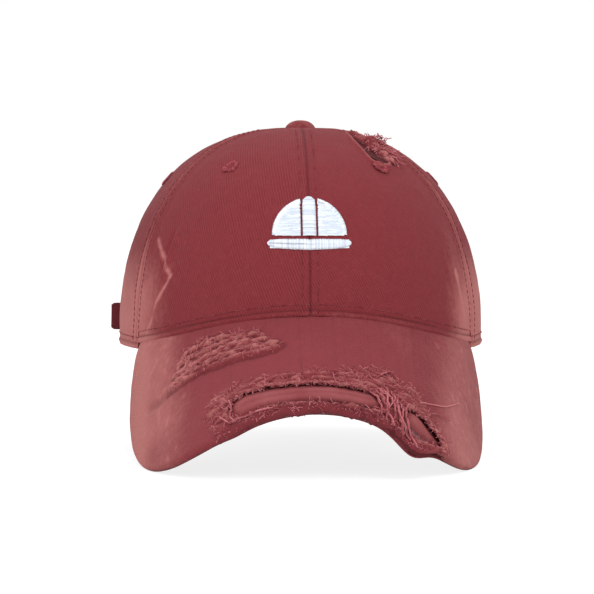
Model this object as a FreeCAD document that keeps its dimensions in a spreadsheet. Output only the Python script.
import FreeCAD, Part
import math
import os

# A baseball-style bump cap: a six-panel cotton cap with a lift-out protective shell.
# The wearer faces -Y, +Z is up, and the origin is the centre of the head opening at the level of
# the side rim. Right and left in the names are the wearer's, so right is -X.
# Lengths are millimetres and angles are degrees.

V = FreeCAD.Vector
Z_AXIS = V(0, 0, 1)

# Driving dimensions: (name, value, what it is)
SIZES = [
    ("crown_half_width", 90.0, "outside of the crown, middle to side, at the rim"),
    ("crown_half_length", 104.0, "outside of the crown, middle to front or back, at the rim"),
    ("crown_height", 106.5, "side rim to the outside of the top"),
    ("dome_power", 2.4, "fullness of the dome: 2 is an ellipse, more is squarer"),
    ("panel_thickness", 1.1, "cotton twill of the six panels"),
    ("front_seam_angle", 61.0, "from straight ahead to the seam between front and side panels"),
    ("rear_seam_angle", 115.0, "from straight ahead to the seam between side and rear panels"),
    ("visor_pitch", 32.0, "fall of the visor's middle line"),
    ("visor_root_height", 18.5, "front rim above the side rim"),
    ("visor_root_reach", 48.0, "visor's rear corners, ahead of the head centre"),
    ("arch_half_width", 86.0, "half of the bent visor's width"),
    ("arch_height", 86.0, "height of the visor's arch where it meets the crown"),
    ("arch_growth", 0.45, "growth of the arch's height for each millimetre forward"),
    ("outline_centre", 108.0, "centre of the visor's side outline, ahead of the head centre"),
    ("outline_half_length", 58.5, "half length of the visor's side outline"),
    ("outline_half_depth", 51.0, "depth of the visor's tips below the side rim"),
    ("top_cover_thickness", 0.9, "twill over the visor"),
    ("inner_ply_thickness", 0.6, "smooth ply between top cover and board"),
    ("board_thickness", 2.0, "plastic visor board"),
    ("under_cover_thickness", 0.9, "twill under the visor"),
    ("board_margin", 1.3, "top cover's fold round the board's free edge"),
    ("tear_margin", 7.5, "strip of cover left between the tears and the free edge"),
    ("tear_width", 12.5, "long tear in the top cover, front to back"),
    ("tear_right_reach", 36.0, "long tear's reach on the wearer's right"),
    ("tear_left_reach", 28.0, "long tear's reach on the wearer's left"),
    ("short_tear_start", 39.0, "short tear on the wearer's left, from the middle"),
    ("short_tear_length", 15.0, "short tear on the wearer's left"),
    ("tape_thickness", 0.6, "binding tapes inside the crown"),
    ("tape_width", 10.0, "binding tapes over the panel seams"),
    ("buckram_thickness", 0.5, "stiffener behind the front panels"),
    ("top_disc_radius", 12.0, "reinforcing disc under the top button"),
    ("hem_height", 7.0, "turned-up seam allowance round the rim"),
    ("hem_rear_reach", 66.0, "hem's end beside the rear opening, from the middle"),
    ("band_gap", 3.6, "panel's inside to the sweatband's outside"),
    ("band_thickness", 1.4, "sweatband"),
    ("band_height", 28.0, "sweatband, rim to top edge"),
    ("band_rear_reach", 40.0, "sweatband's end beside the rear opening, from the middle"),
    ("opening_half_width", 34.0, "arched rear opening"),
    ("opening_height", 46.0, "arched rear opening"),
    ("opening_tape_width", 7.0, "tape round the rear opening"),
    ("opening_tape_gap", 1.0, "tape round the rear opening, above the straps"),
    ("button_radius", 7.5, "top button"),
    ("button_height", 3.8, "top button above the crown"),
    ("button_cover_thickness", 0.7, "twill round the button"),
    ("button_sink", 0.8, "button's widest level below the top of the crown"),
    ("button_shank_radius", 1.6, "shank through the crown"),
    ("washer_radius", 6.0, "washer that holds the shank inside"),
    ("washer_thickness", 0.8, "washer that holds the shank inside"),
    ("washer_gap", 0.15, "between the tapes and the washer"),
    ("rivet_height", 0.8, "shank's rolled end under the washer"),
    ("rivet_lip", 1.2, "rolled end past the shank"),
    ("eyelet_distance", 66.0, "vent eyelets, from the vertical axis"),
    ("eyelet_ring_radius", 4.6, "sewn ring of an eyelet"),
    ("eyelet_barrel_radius", 2.4, "sewn barrel through the panel"),
    ("eyelet_bore_radius", 1.6, "open vent"),
    ("eyelet_ring_height", 0.4, "ring above the panel"),
    ("eyelet_inner_height", 0.4, "barrel past the layers inside"),
    ("emblem_height", 60.0, "middle of the embroidery above the side rim"),
    ("emblem_radius", 17.5, "helmet dome in the embroidery"),
    ("emblem_brim_half_width", 19.5, "helmet brim in the embroidery"),
    ("emblem_brim_depth", 6.5, "helmet brim in the embroidery"),
    ("emblem_dome_drop", 4.5, "helmet dome's flat foot below the middle of the embroidery"),
    ("emblem_thickness", 0.9, "raised stitching"),
    ("tab_length", 13.0, "folded ribbon tab, how far it stands out of the seam"),
    ("tab_height", 13.5, "folded ribbon tab"),
    ("tab_thickness", 1.6, "two plies of ribbon"),
    ("tab_corner", 2.0, "rounding of the tab's free corners"),
    ("tab_root", 4.0, "ribbon from its bend back into the seam"),
    ("tab_bottom", 3.5, "tab's lower edge above the side rim"),
    ("strap_width", 16.0, "closing strap"),
    ("strap_bottom", 3.0, "strap's lower edge above the side rim"),
    ("strap_centre", 21.3, "strap's centre of curvature, behind the head centre"),
    ("strap_radius", 80.0, "outside of the short strap"),
    ("short_strap_thickness", 1.0, "strap that holds the buckle"),
    ("free_strap_thickness", 1.1, "strap that slides through the buckle"),
    ("strap_clearance", 0.1, "between the two straps"),
    ("strap_anchor_angle", 42.0, "sewn ends of the straps, from the middle of the back"),
    ("free_tail_angle", 24.0, "tail of the free strap, from the middle of the back"),
    ("buckle_near_angle", 3.0, "open end of the buckle, from the middle of the back"),
    ("buckle_far_angle", 14.0, "sewn end of the buckle, from the middle of the back"),
    ("buckle_bar_angle", 3.0, "width of the buckle's front bar"),
    ("pin_angle", 9.6, "lever's pin, from the middle of the back"),
    ("buckle_wall", 1.2, "buckle's back plate and front bar"),
    ("buckle_rail", 2.0, "buckle's top and bottom rails"),
    ("buckle_clearance", 0.2, "round the strap inside the buckle, and beside the lever"),
    ("lever_thickness", 1.0, "clamp lever"),
    ("lever_gap", 0.2, "closed lever over the straps"),
    ("lever_end_angle", 0.3, "buckle's open end to the lever's"),
    ("pin_radius", 0.7, "lever's hinge pin"),
    ("pin_running_clearance", 0.05, "lever's bore round the pin"),
    ("knuckle_radius", 1.5, "lever's rolled knuckle"),
    ("pin_offset", 0.6, "pin outside the straps"),
    ("shell_inset", 6.5, "crown's outside to the protective shell's outside"),
    ("shell_thickness", 2.0, "protective shell"),
    ("shell_rim_height", 32.0, "shell's lower edge above the rim"),
    ("shell_split", 70.0, "level where the shell's wall ends and its crown starts"),
    ("vent_width", 5.0, "vent slots in the shell"),
    ("vent_length", 22.0, "vent slots in the shell"),
    ("vent_start", 33.0, "vent slots' inner ends, from the vertical axis"),
    ("vent_count", 8.0, "vent slots round the shell"),
    ("foam_thickness", 4.0, "impact pads inside the shell"),
    ("foam_gap", 5.0, "rim pads above the shell's lower edge"),
    ("foam_height", 24.0, "rim pads"),
    ("foam_half_angle", 38.0, "half of each rim pad, seen from above"),
    ("crown_pad_radius", 27.0, "pad under the top of the shell"),
    ("trim_height", 3.0, "soft trim's lip up the inside of the shell"),
    ("trim_depth", 1.8, "soft trim below the shell's edge"),
    ("trim_lip", 1.0, "soft trim's lip thickness"),
    ("trim_gap", 1.0, "between the trim and the rim pads beside the front arch"),
    ("patch_radius", 9.0, "hook-and-loop patches"),
    ("patch_gap", 0.3, "between the hook and loop faces"),
    ("patch_level", 62.0, "middle of the patches above the side rim"),
]

PATCH_ANGLES = {"right_rear": -145, "right_side": -88, "left_side": 88, "left_rear": 145}
EYELET_ANGLES = {
    "rear_right": -146,
    "side_right": -88,
    "front_right": -33,
    "front_left": 33,
    "side_left": 88,
    "rear_left": 146,
}
SECTION_TURNS = (0, 10, 20, 33, 45, 56, 66, 75, 82, 86.5, 88.8)  # levels of the dome's sections
SKIRT_LEVELS = (-70, -50, -30, -12)  # the walls run straight down below the rim
FAR = 160.0  # reach of the cutting tools, past every wall

doc = FreeCAD.newDocument("bump_cap")


def make_sheet():
    """Puts every driving dimension in a cell with an alias."""
    cells = doc.addObject("Spreadsheet::Sheet", "sizes")
    for row, (name, value, meaning) in enumerate(SIZES, start=1):
        cells.set(f"A{row}", meaning)
        cells.set(f"B{row}", str(value))
        cells.setAlias(f"B{row}", name)
    doc.recompute()
    return cells


sheet = make_sheet()


def size(name):
    return float(sheet.get(name))


def sheet_value(text):
    """The value now of an expression on the sheet."""
    return float(sheet.evalExpression(text))


def bind(thing, **expressions):
    """Binds properties to expressions on the sheet. A double underscore stands for a dot."""
    for name, text in expressions.items():
        thing.setExpression(name.replace("__", "."), text)
    return thing


def at(thing, x="0", y="0", z="0", turn="0", axis=Z_AXIS):
    """Places a thing by expressions, turned about an axis."""
    thing.Placement = FreeCAD.Placement(V(0, 0, 0), FreeCAD.Rotation(axis, 1.0))
    thing.Placement.Rotation.Axis = axis
    places = {"Placement.Base.x": x, "Placement.Base.y": y, "Placement.Base.z": z}
    for name, text in places.items():
        thing.setExpression(name, text)
    thing.setExpression("Placement.Rotation.Angle", f"({turn}) * 1 deg")
    return thing


def boolean(kind, label, base, tool):
    joined = doc.addObject(f"Part::{kind}", label)
    joined.Base = base
    joined.Tool = tool
    return joined


def cut(label, base, *tools):
    for tool in tools:
        base = boolean("Cut", label, base, tool)
    return base


def common(label, base, *tools):
    for tool in tools:
        base = boolean("Common", label, base, tool)
    return base


def fuse(label, base, *tools):
    for tool in tools:
        base = boolean("Fuse", label, base, tool)
    return base


def compound(label, members):
    group = doc.addObject("Part::Compound", label)
    group.Links = members
    return group


def box(label, length, width, height, **place):
    block = doc.addObject("Part::Box", label)
    bind(block, Length=length, Width=width, Height=height)
    return at(block, **place)


def cylinder(label, radius, height, sweep="360", **place):
    rod = doc.addObject("Part::Cylinder", label)
    bind(rod, Radius=radius, Height=height, Angle=f"({sweep}) * 1 deg")
    return at(rod, **place)


# ---------------------------------------------------------------- the dome and its layers


def dome(label, inset):
    """A solid dome, inset from the crown's outside, whose walls run on below the rim."""
    sections = []
    across = f"(sizes.crown_half_width - ({inset}))"
    along = f"(sizes.crown_half_length - ({inset}))"
    tall = f"(sizes.crown_height - ({inset}))"
    levels = [("1", str(level)) for level in SKIRT_LEVELS]
    for turn in SECTION_TURNS:
        share = f"cos({turn} deg) ^ (2 / sizes.dome_power)"
        levels.append((share, f"{tall} * sin({turn} deg) ^ (2 / sizes.dome_power)"))
    for share, level in levels:
        ring = doc.addObject("Part::Ellipse", f"{label}_section")
        bind(ring, MajorRadius=f"{along} * {share}", MinorRadius=f"{across} * {share}")
        at(ring, z=level, turn="90")
        sections.append(ring)
    loft = doc.addObject("Part::Loft", label)
    loft.Sections = sections
    loft.Solid = True
    return loft


PANEL_IN = "sizes.panel_thickness"
TAPE_IN = f"{PANEL_IN} + sizes.tape_thickness"
BUCKRAM_IN = f"{PANEL_IN} + sizes.buckram_thickness"
BAND_OUT = f"{PANEL_IN} + sizes.band_gap"
BAND_IN = f"{BAND_OUT} + sizes.band_thickness"
SHELL_OUT = "sizes.shell_inset"
SHELL_IN = f"{SHELL_OUT} + sizes.shell_thickness"
FOAM_IN = f"{SHELL_IN} + sizes.foam_thickness"
TRIM_IN = f"{SHELL_IN} + sizes.trim_lip"

outside = dome("outside", "0")
panel_inside = dome("panel_inside", PANEL_IN)
tape_inside = dome("tape_inside", TAPE_IN)
buckram_inside = dome("buckram_inside", BUCKRAM_IN)
band_outside = dome("band_outside", BAND_OUT)
band_inside = dome("band_inside", BAND_IN)
shell_outside = dome("shell_outside", SHELL_OUT)
shell_inside = dome("shell_inside", SHELL_IN)
foam_inside = dome("foam_inside", FOAM_IN)
trim_inside = dome("trim_inside", TRIM_IN)


def arch(label, depth=0.0, inset=0.0, lift=0.0):
    """The solid under the visor's arched, pitched top surface.

    depth goes down through the visor's layers. inset follows a layer inside the crown, and lift
    raises it to follow the rim at a height.
    """
    pitch = math.radians(size("visor_pitch"))
    forward = V(0, -math.cos(pitch), -math.sin(pitch))
    upward = V(0, -math.sin(pitch), math.cos(pitch))
    side = V(1, 0, 0)
    half_width = size("arch_half_width") - depth - inset
    root = V(0, inset - size("crown_half_length"), size("visor_root_height") + lift)
    floor = 60.0  # straight walls below the arch's springing
    wires = []
    for reach in (-72.0, 115.0):  # behind and ahead of the crown's front rim
        tall = size("arch_height") + size("arch_growth") * reach
        centre = root + forward * reach - upward * tall
        top = tall - depth
        right = centre - side * half_width
        left = centre + side * half_width
        crest = centre + upward * top
        if top >= half_width:
            edge = Part.ArcOfEllipse(Part.Ellipse(crest, left, centre), -math.pi / 2, math.pi / 2)
        else:
            edge = Part.ArcOfEllipse(Part.Ellipse(right, crest, centre), 0, math.pi)
        below_right = right - upward * floor
        below_left = left - upward * floor
        sides = [
            edge.toShape(),
            Part.makeLine(right, below_right),
            Part.makeLine(below_right, below_left),
            Part.makeLine(below_left, left),
        ]
        wires.append(Part.Wire(sides))
    solid = Part.makeLoft(wires, True, True)
    if solid.Volume < 0:
        solid.reverse()
    made = doc.addObject("Part::Feature", label)
    made.Shape = solid
    return made


root_side = box(
    "root_side",
    f"{2 * FAR}",
    f"{FAR}",
    f"{2 * FAR}",
    x=f"{-FAR}",
    y=f"{-FAR} - sizes.visor_root_reach",
    z=f"{-FAR}",
)


def below_rim(label, height, inset="0", drop=0.0):
    """Everything below a line that follows the rim at a height, arch and all.

    drop lowers the line at the front only, to reach past the visor's layers.
    """
    under = arch(f"{label}_under", inset=sheet_value(inset), lift=height - drop)
    arched = common(f"{label}_arch", under, root_side)
    wide = f"{2 * FAR}"
    flat = box(f"{label}_flat", wide, wide, f"{FAR}", x=f"{-FAR}", y=f"{-FAR}", z=f"{height - FAR}")
    return fuse(label, flat, arched)


def wedge(label, start, end):
    """A pie slice about the vertical axis between two angles from straight ahead."""
    sweep = f"({end}) - ({start})"
    return cylinder(label, f"{FAR}", f"{2 * FAR}", sweep=sweep, z=f"{-FAR}", turn=f"({start}) - 90")


def slab(label, angle, width, start="0", length=f"{FAR}"):
    """An upright slab of a width, running outward from the vertical axis at an angle."""
    across = f"({width}) / 2"
    return box(
        label,
        length,
        width,
        f"{2 * FAR}",
        x=f"({start}) * sin(({angle}) * 1 deg) - {across} * cos(({angle}) * 1 deg)",
        y=f"-({start}) * cos(({angle}) * 1 deg) - {across} * sin(({angle}) * 1 deg)",
        z=f"{-FAR}",
        turn=f"({angle}) - 90",
    )


def crown_place(angle, distance=None, level=None, inset=0.0):
    """A placement on a layer of the crown, its own Z out along the surface's normal."""
    across = size("crown_half_width") - inset
    along = size("crown_half_length") - inset
    tall = size("crown_height") - inset
    power = size("dome_power")
    turn = math.radians(angle)
    stretch = math.hypot(math.sin(turn) / across, math.cos(turn) / along)
    if level is None:
        share = distance * stretch
        level = tall * (1 - share**power) ** (1 / power)
    else:
        share = (1 - (level / tall) ** power) ** (1 / power)
        distance = share / stretch
    x = distance * math.sin(turn)
    y = -distance * math.cos(turn)
    steep = share ** (power - 2)
    normal = V(steep * x / across**2, steep * y / along**2, level ** (power - 1) / tall**power)
    return FreeCAD.Placement(V(x, y, level), FreeCAD.Rotation(Z_AXIS, normal))


def rod_at(label, place, radius, top, bottom):
    """A cylinder along a placement's own Z, from a depth below it to a height above it."""
    rod = doc.addObject("Part::Cylinder", label)
    bind(rod, Radius=radius, Height=f"({top}) + ({bottom})")
    drop = FreeCAD.Placement(V(0, 0, -sheet_value(bottom)), FreeCAD.Rotation())
    rod.Placement = place.multiply(drop)
    return rod


nodes = {}


def node(name, thing):
    thing.Label = name
    nodes[name] = thing
    return thing


# ---------------------------------------------------------------- cutting tools

PITCH = math.radians(size("visor_pitch"))
VISOR_DEPTH = (
    size("top_cover_thickness")
    + size("inner_ply_thickness")
    + size("board_thickness")
    + size("under_cover_thickness")
)


def visor_drop(inset):
    """From the rim line of a layer down to the visor's underside at the front."""
    return VISOR_DEPTH / math.cos(PITCH) - sheet_value(inset) * math.tan(PITCH)


SHELL_RIM = size("shell_rim_height")
PAD_RIM = SHELL_RIM + size("foam_gap")
# the arch over the front is wider for a higher line, so that a rim's width stays even round it
TRIM_FOOT_IN = f"{SHELL_IN} + sizes.trim_depth / 2"
TRIM_LINE_IN = f"{SHELL_IN} - sizes.trim_height / 2"
PAD_LINE = f"{TRIM_LINE_IN} - sizes.trim_gap"
rim = below_rim("rim", 0.0)
hem_foot = below_rim("hem_foot", 0.0, inset=BAND_OUT, drop=visor_drop(BAND_OUT))
hem_line = below_rim("hem_line", size("hem_height"), inset=BAND_OUT)
band_foot = below_rim("band_foot", 0.0, inset=BAND_IN, drop=visor_drop(BAND_IN))
band_line = below_rim("band_line", size("band_height"), inset=BAND_IN)
shell_foot = below_rim("shell_foot", SHELL_RIM, inset=SHELL_IN)
trim_foot = below_rim("trim_foot", SHELL_RIM - size("trim_depth"), inset=TRIM_FOOT_IN)
trim_line = below_rim("trim_line", SHELL_RIM + size("trim_height"), inset=TRIM_LINE_IN)
pad_foot = below_rim("pad_foot", PAD_RIM, inset=PAD_LINE)
pad_line = below_rim("pad_line", PAD_RIM + size("foam_height"), inset=PAD_LINE)


def rear_arch(label, margin):
    """The rear opening's arch, run straight back through the crown, with a margin."""
    curve = doc.addObject("Part::Ellipse", f"{label}_curve")
    bind(
        curve,
        MajorRadius=f"sizes.opening_height + ({margin})",
        MinorRadius=f"sizes.opening_half_width + ({margin})",
    )
    curve.Placement = FreeCAD.Placement(V(0, 0, 0), FreeCAD.Rotation(V(1, 1, 1), -120))
    tool = doc.addObject("Part::Extrusion", label)
    tool.Base = curve
    tool.DirMode = "Normal"
    tool.LengthFwd = FAR
    tool.Solid = True
    return tool


opening = rear_arch("opening", "0")
opening_taped = rear_arch("opening_taped", "sizes.opening_tape_width")
shank_bore = cylinder("shank_bore", "sizes.button_shank_radius", f"{FAR}")
top_disc = cylinder("top_disc", "sizes.top_disc_radius", f"{FAR}")

FRONT = "sizes.front_seam_angle"
REAR = "sizes.rear_seam_angle"
eyelet_places = {
    name: crown_place(angle, distance=size("eyelet_distance")) for name, angle in EYELET_ANGLES.items()
}
EYELET_INSIDE = f"{BUCKRAM_IN} + sizes.eyelet_inner_height"
eyelet_bores = compound(
    "eyelet_bores",
    [
        rod_at(f"{name}_hole", place, "sizes.eyelet_barrel_radius", "3", f"({EYELET_INSIDE}) + 1")
        for name, place in eyelet_places.items()
    ],
)

# ---------------------------------------------------------------- crown

crown_shell = cut("crown_shell", outside, panel_inside, rim, opening, shank_bore, eyelet_bores)
PANELS = {
    "front_left_panel": ("0", FRONT),
    "side_left_panel": (FRONT, REAR),
    "rear_left_panel": (REAR, "180"),
    "rear_right_panel": ("180", f"360 - {REAR}"),
    "side_right_panel": (f"360 - {REAR}", f"360 - {FRONT}"),
    "front_right_panel": (f"360 - {FRONT}", "360"),
}
for name, (start, end) in PANELS.items():
    node(name, common(name, crown_shell, wedge(f"{name}_wedge", start, end)))

SEAMS = ("0", FRONT, REAR, "180", f"-{REAR}", f"-{FRONT}")
tape_strips = [slab(f"tape_strip_{index}", angle, "sizes.tape_width") for index, angle in enumerate(SEAMS)]
tape_spread = fuse("tape_spread", top_disc, *tape_strips)
tape_plan = cut("tape_plan", tape_spread, hem_line, opening_taped, shank_bore)
tape_skin = cut("tape_skin", panel_inside, tape_inside)
node("seam_tapes", common("seam_tapes", tape_skin, tape_plan))

buckram_skin = cut("buckram_skin", panel_inside, buckram_inside)
for side, start, end in (("left", "0", FRONT), ("right", f"360 - {FRONT}", "360")):
    sector = wedge(f"{side}_buckram_wedge", start, end)
    sheet_plan = cut(f"{side}_buckram_plan", sector, tape_spread, hem_line, eyelet_bores)
    name = f"front_{side}_buckram"
    node(name, common(name, buckram_skin, sheet_plan))

hem_gap = box(
    "hem_gap",
    "2 * sizes.hem_rear_reach",
    f"{FAR}",
    f"{2 * FAR}",
    x="-sizes.hem_rear_reach",
    z=f"{-FAR}",
)
hem_ring = common("hem_ring", cut("hem_layer", panel_inside, band_outside), hem_line)
node("crown_hem", cut("crown_hem", hem_ring, hem_foot, hem_gap))

strap_level = box(
    "strap_level",
    f"{2 * FAR}",
    f"{FAR}",
    f"{FAR}",
    x=f"{-FAR}",
    z=f"sizes.strap_bottom + sizes.strap_width + sizes.opening_tape_gap - {FAR}",
)
binding_plan = cut("binding_plan", opening_taped, opening, strap_level)
node("opening_binding", common("opening_binding", tape_skin, binding_plan))

band_gap = box(
    "band_rear_gap",
    "2 * sizes.band_rear_reach",
    f"{FAR}",
    f"{2 * FAR}",
    x="-sizes.band_rear_reach",
    z=f"{-FAR}",
)
band_ring = common("band_ring", cut("band_layer", band_outside, band_inside), band_line)
node("sweatband", cut("sweatband", band_ring, band_foot, band_gap))

# ---------------------------------------------------------------- visor


def outline(label, inset):
    """The visor's outline seen from the side, run straight across."""
    curve = doc.addObject("Part::Ellipse", f"{label}_curve")
    bind(
        curve,
        MajorRadius=f"sizes.outline_half_length - ({inset})",
        MinorRadius=f"sizes.outline_half_depth - ({inset})",
    )
    curve.Placement = FreeCAD.Placement(V(0, 0, 0), FreeCAD.Rotation(V(1, 1, 1), 120))
    bind(curve, Placement__Base__x=f"{-FAR}", Placement__Base__y="-sizes.outline_centre")
    tool = doc.addObject("Part::Extrusion", label)
    tool.Base = curve
    tool.DirMode = "Normal"
    tool.LengthFwd = 2 * FAR
    tool.Solid = True
    return tool


PLY_DEPTH = size("top_cover_thickness")
BOARD_DEPTH = PLY_DEPTH + size("inner_ply_thickness")
UNDER_DEPTH = BOARD_DEPTH + size("board_thickness")
above_root = box(
    "above_root", f"{2 * FAR}", f"{2 * FAR}", f"{FAR}", x=f"{-FAR}", y="-sizes.visor_root_reach"
)
visor_slice = common("visor_slice", arch("visor_top"), outline("visor_outline", "0"))
visor_blank = cut(
    "visor_blank", visor_slice, arch("visor_bottom", depth=VISOR_DEPTH), panel_inside, above_root
)
core = common("core", arch("core_top", depth=PLY_DEPTH), outline("core_outline", "sizes.board_margin"))
filling = common("filling", visor_blank, core)
below_ply = arch("below_ply", depth=BOARD_DEPTH)
below_board = arch("below_board", depth=UNDER_DEPTH)

tear_ring = cut(
    "tear_ring",
    outline("tear_front", "sizes.tear_margin"),
    outline("tear_back", "sizes.tear_margin + sizes.tear_width"),
)
long_tear = box(
    "long_tear",
    "sizes.tear_right_reach + sizes.tear_left_reach",
    f"{FAR}",
    f"{FAR}",
    x="-sizes.tear_right_reach",
    y=f"{-FAR} - sizes.outline_centre",
    z=f"{-FAR}",
)
short_tear = box(
    "short_tear",
    "sizes.short_tear_length",
    f"{FAR}",
    f"{FAR}",
    x="sizes.short_tear_start",
    y=f"{-FAR} - sizes.outline_centre",
    z=f"{-FAR}",
)
tears = common("tears", tear_ring, fuse("tear_spans", long_tear, short_tear))
node("visor_top_cover", cut("visor_top_cover", visor_blank, core, tears))
node("visor_inner_ply", cut("visor_inner_ply", filling, below_ply))
node("visor_board", cut("visor_board", common("board_blank", filling, below_ply), below_board))
node("visor_under_cover", common("visor_under_cover", filling, below_board))

# ---------------------------------------------------------------- button, eyelets, emblem and tab


def lens(label, inset):
    """The button's rounded body, inset from its outside."""
    body = doc.addObject("Part::Ellipsoid", label)
    bind(
        body,
        Radius1=f"sizes.button_height + sizes.button_sink - ({inset})",
        Radius2=f"sizes.button_radius - ({inset})",
        Radius3=f"sizes.button_radius - ({inset})",
    )
    return at(body, z=f"sizes.crown_height - sizes.button_sink")


button_body = cut("button_body", lens("button_outside", "0"), outside)
button_inner = lens("button_inside", "sizes.button_cover_thickness")
node("button_cover", cut("button_cover", button_body, button_inner))
WASHER_TOP = f"sizes.crown_height - ({TAPE_IN}) - sizes.washer_gap"
WASHER_FOOT = f"{WASHER_TOP} - sizes.washer_thickness"
RIVET_FOOT = f"{WASHER_FOOT} - sizes.rivet_height"
shank = cylinder(
    "shank",
    "sizes.button_shank_radius",
    f"sizes.crown_height - ({RIVET_FOOT}) + sizes.button_sink",
    z=RIVET_FOOT,
)
rivet = cylinder("rivet", "sizes.button_shank_radius + sizes.rivet_lip", "sizes.rivet_height", z=RIVET_FOOT)
button_core = common("button_core", button_body, button_inner)
node("button_shell", fuse("button_shell", button_core, shank, rivet))
washer = cylinder("washer", "sizes.washer_radius", "sizes.washer_thickness", z=WASHER_FOOT)
node("button_washer", cut("button_washer", washer, shank_bore))

for name, place in eyelet_places.items():
    ring = rod_at(f"{name}_ring", place, "sizes.eyelet_ring_radius", "sizes.eyelet_ring_height", "1")
    seated = cut(f"{name}_seated", ring, outside)
    barrel = rod_at(
        f"{name}_barrel", place, "sizes.eyelet_barrel_radius", "sizes.eyelet_ring_height", EYELET_INSIDE
    )
    bore = rod_at(f"{name}_bore", place, "sizes.eyelet_bore_radius", "3", f"({EYELET_INSIDE}) + 1")
    node(f"{name}_eyelet", cut(f"{name}_eyelet", fuse(f"{name}_solid", seated, barrel), bore))

stitch_face = dome("stitch_face", "-sizes.emblem_thickness")
HELMET_FOOT = "sizes.emblem_height - sizes.emblem_dome_drop"
helmet = cylinder(
    "helmet", "sizes.emblem_radius", f"{FAR}", sweep="180", z=HELMET_FOOT, turn="90", axis=V(1, 0, 0)
)
brim = box(
    "brim",
    "2 * sizes.emblem_brim_half_width",
    f"{FAR}",
    "sizes.emblem_brim_depth",
    x="-sizes.emblem_brim_half_width",
    y=f"{-FAR}",
    z=f"{HELMET_FOOT} - sizes.emblem_brim_depth",
)
stitching = cut("stitching", common("stitch_body", fuse("pictogram", helmet, brim), stitch_face), outside)
node("front_emblem", stitching)

tab_place = crown_place(-size("rear_seam_angle"), level=size("tab_bottom") + size("tab_height") / 2)
tab_normal = tab_place.Rotation.multVec(Z_AXIS)
tab_turn = math.degrees(math.atan2(tab_normal.y, tab_normal.x))
ribbon = doc.addObject("Part::Box", "ribbon")
bind(ribbon, Length="sizes.tab_length + sizes.tab_root", Width="sizes.tab_thickness", Height="sizes.tab_height")
tab_offset = FreeCAD.Placement(V(-size("tab_root"), -size("tab_thickness") / 2, 0), FreeCAD.Rotation())
tab_base = V(tab_place.Base.x, tab_place.Base.y, size("tab_bottom"))
ribbon.Placement = FreeCAD.Placement(tab_base, FreeCAD.Rotation(Z_AXIS, tab_turn)).multiply(tab_offset)
doc.recompute()
far_corners = []
for index, edge in enumerate(ribbon.Shape.Edges, start=1):
    middle = edge.CenterOfMass
    reach = (middle - tab_base).dot(V(tab_normal.x, tab_normal.y, 0).normalize())
    upright = abs(middle.z - tab_base.z - size("tab_height") / 2)
    if reach > size("tab_length") - 0.1 and upright > size("tab_height") / 2 - 0.1:
        far_corners.append((index, size("tab_corner"), size("tab_corner")))
rounded = doc.addObject("Part::Fillet", "ribbon_rounded")
rounded.Base = ribbon
rounded.Edges = far_corners
node("side_tab", cut("side_tab", rounded, outside))

# ---------------------------------------------------------------- rear straps and buckle


def arc_wall(label, outer, inner, start, end, bottom, height):
    """A curved wall about the straps' centre; angles run from the middle of the back to the left."""
    place = {"y": "sizes.strap_centre", "z": bottom}
    sweep = f"({end}) - ({start})"
    body = cylinder(f"{label}_body", outer, height, sweep=sweep, turn=f"90 - ({end})", **place)
    return cut(label, body, cylinder(f"{label}_bore", inner, height, **place))


SHORT_IN = "sizes.strap_radius - sizes.short_strap_thickness"
FREE_OUT = f"{SHORT_IN} - sizes.strap_clearance"
FREE_IN = f"{FREE_OUT} - sizes.free_strap_thickness"
STRAP_FOOT = "sizes.strap_bottom"
BAR_START = "sizes.buckle_far_angle - sizes.buckle_bar_angle"
ANCHOR = "sizes.strap_anchor_angle"
TAIL = "sizes.free_tail_angle"
short_strap = arc_wall(
    "buckle_strap", "sizes.strap_radius", SHORT_IN, BAR_START, ANCHOR, STRAP_FOOT, "sizes.strap_width"
)
node("buckle_strap", short_strap)
free_strap = arc_wall("adjust_strap", FREE_OUT, FREE_IN, f"-{ANCHOR}", TAIL, STRAP_FOOT, "sizes.strap_width")
node("adjust_strap", free_strap)
CHANNEL_IN = f"{FREE_IN} - sizes.buckle_clearance"
PLATE_IN = f"{CHANNEL_IN} - sizes.buckle_wall"
CHANNEL_OUT = "sizes.strap_radius"
BAR_OUT = f"{CHANNEL_OUT} + sizes.buckle_wall"
NEAR = "sizes.buckle_near_angle"
FAR_END = "sizes.buckle_far_angle"
FRAME_FOOT = f"{STRAP_FOOT} - sizes.buckle_clearance - sizes.buckle_rail"
FRAME_TALL = "sizes.strap_width + 2 * sizes.buckle_clearance + 2 * sizes.buckle_rail"
CHANNEL_FOOT = f"{STRAP_FOOT} - sizes.buckle_clearance"
CHANNEL_TALL = "sizes.strap_width + 2 * sizes.buckle_clearance"
frame_body = arc_wall("frame_body", BAR_OUT, PLATE_IN, NEAR, FAR_END, FRAME_FOOT, FRAME_TALL)
PAST_NEAR = f"{NEAR} - 5"  # tools run past both ends of the buckle
PAST_FAR = f"{FAR_END} + 5"
channel = arc_wall("channel", CHANNEL_OUT, CHANNEL_IN, PAST_NEAR, PAST_FAR, CHANNEL_FOOT, CHANNEL_TALL)
window = arc_wall(
    "window", f"{BAR_OUT} + 5", f"{CHANNEL_OUT} - 1", PAST_NEAR, BAR_START, CHANNEL_FOOT, CHANNEL_TALL
)
PIN_REACH = f"({CHANNEL_OUT} + sizes.pin_offset)"
PIN_X = f"{PIN_REACH} * sin(sizes.pin_angle * 1 deg)"
PIN_Y = f"sizes.strap_centre + {PIN_REACH} * cos(sizes.pin_angle * 1 deg)"
pin = cylinder("buckle_pin", "sizes.pin_radius", FRAME_TALL, x=PIN_X, y=PIN_Y, z=FRAME_FOOT)
node("buckle_frame", cut("buckle_frame", frame_body, channel, window, pin))
node("buckle_pin", pin)
LEVER_FOOT = STRAP_FOOT
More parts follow.
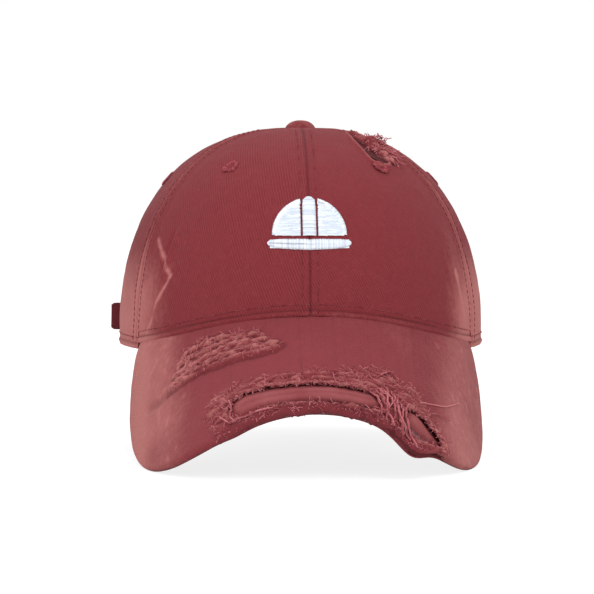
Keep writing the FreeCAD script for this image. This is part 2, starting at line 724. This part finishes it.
LEVER_TALL = "sizes.strap_width"
LEVER_IN = f"{CHANNEL_OUT} + sizes.lever_gap"
LEVER_OUT = f"{LEVER_IN} + sizes.lever_thickness"
LEVER_START = f"{NEAR} + sizes.lever_end_angle"
lever_plate = arc_wall(
    "lever_plate", LEVER_OUT, LEVER_IN, LEVER_START, "sizes.pin_angle", LEVER_FOOT, LEVER_TALL
)
knuckle = cylinder("knuckle", "sizes.knuckle_radius", LEVER_TALL, x=PIN_X, y=PIN_Y, z=LEVER_FOOT)
pin_bore = cylinder(
    "pin_bore", "sizes.pin_radius + sizes.pin_running_clearance", FRAME_TALL, x=PIN_X, y=PIN_Y, z=FRAME_FOOT
)
node("buckle_lever", cut("buckle_lever", fuse("lever_body", lever_plate, knuckle), pin_bore))

# ---------------------------------------------------------------- lift-out protective insert

VENTS = int(size("vent_count"))
vent_slots = []
for index in range(VENTS):
    turn = f"{(index + 0.5) * 360 / VENTS}"
    vent_slots.append(slab(f"vent_{index}", turn, "sizes.vent_width", "sizes.vent_start", "sizes.vent_length"))
vents = compound("vents", vent_slots)
shell_wall = cut("shell_wall", shell_outside, shell_inside, shell_foot)
shell_body = cut("shell_body", shell_wall, vents)
above_split = cylinder("above_split", f"{FAR}", f"{FAR}", z="sizes.shell_split")
node("bump_shell_wall", cut("bump_shell_wall", shell_body, above_split))
node("bump_shell_crown", common("bump_shell_crown", shell_body, above_split))
trim_ring = common("trim_ring", cut("trim_layer", shell_inside, trim_inside), trim_line)
node("shell_edge_trim", cut("shell_edge_trim", trim_ring, trim_foot))

foam_layer = cut("foam_layer", shell_inside, foam_inside)
pad_level = cut("pad_level", pad_line, pad_foot)
HALF = "sizes.foam_half_angle"
for name, middle in {"front": "360", "left": "90", "rear": "180", "right": "270"}.items():
    sector = wedge(f"{name}_pad_wedge", f"{middle} - {HALF}", f"{middle} + {HALF}")
    pad_plan = common(f"{name}_pad_plan", pad_level, sector)
    node(f"foam_{name}_pad", common(f"foam_{name}_pad", foam_layer, pad_plan))
pad_disc = cylinder("pad_disc", "sizes.crown_pad_radius", f"{FAR}")
node("foam_crown_pad", common("foam_crown_pad", foam_layer, pad_disc))

LOOP_IN = f"({PANEL_IN} + {SHELL_OUT} - sizes.patch_gap) / 2"
HOOK_OUT = f"({PANEL_IN} + {SHELL_OUT} + sizes.patch_gap) / 2"
loop_layer = cut("loop_layer", panel_inside, dome("loop_face", LOOP_IN))
hook_layer = cut("hook_layer", dome("hook_face", HOOK_OUT), shell_outside)
for name, angle in PATCH_ANGLES.items():
    place = crown_place(angle, level=size("patch_level"))
    spot = rod_at(f"{name}_spot", place, "sizes.patch_radius", "5", "20")
    node(f"{name}_loop_patch", common(f"{name}_loop", loop_layer, spot))
    node(f"{name}_hook_patch", common(f"{name}_hook", hook_layer, spot))

# ---------------------------------------------------------------- checks and files

doc.recompute()
for thing in doc.Objects:
    if "Invalid" in thing.State or "Error" in thing.State:
        raise RuntimeError(f"{thing.Label} did not build: {thing.State}")
    shape = getattr(thing, "Shape", None)
    if shape is not None and (shape.isNull() or not shape.isValid()):
        raise RuntimeError(f"{thing.Label} has no valid shape")

os.makedirs("parts", exist_ok=True)
for name, thing in nodes.items():
    solids = thing.Shape.Solids
    if len(solids) != 1:
        raise RuntimeError(f"{name} has {len(solids)} solids")
    thing.Shape.exportStep(f"parts/{name}.step")
print(f"{len(nodes)} parts written")
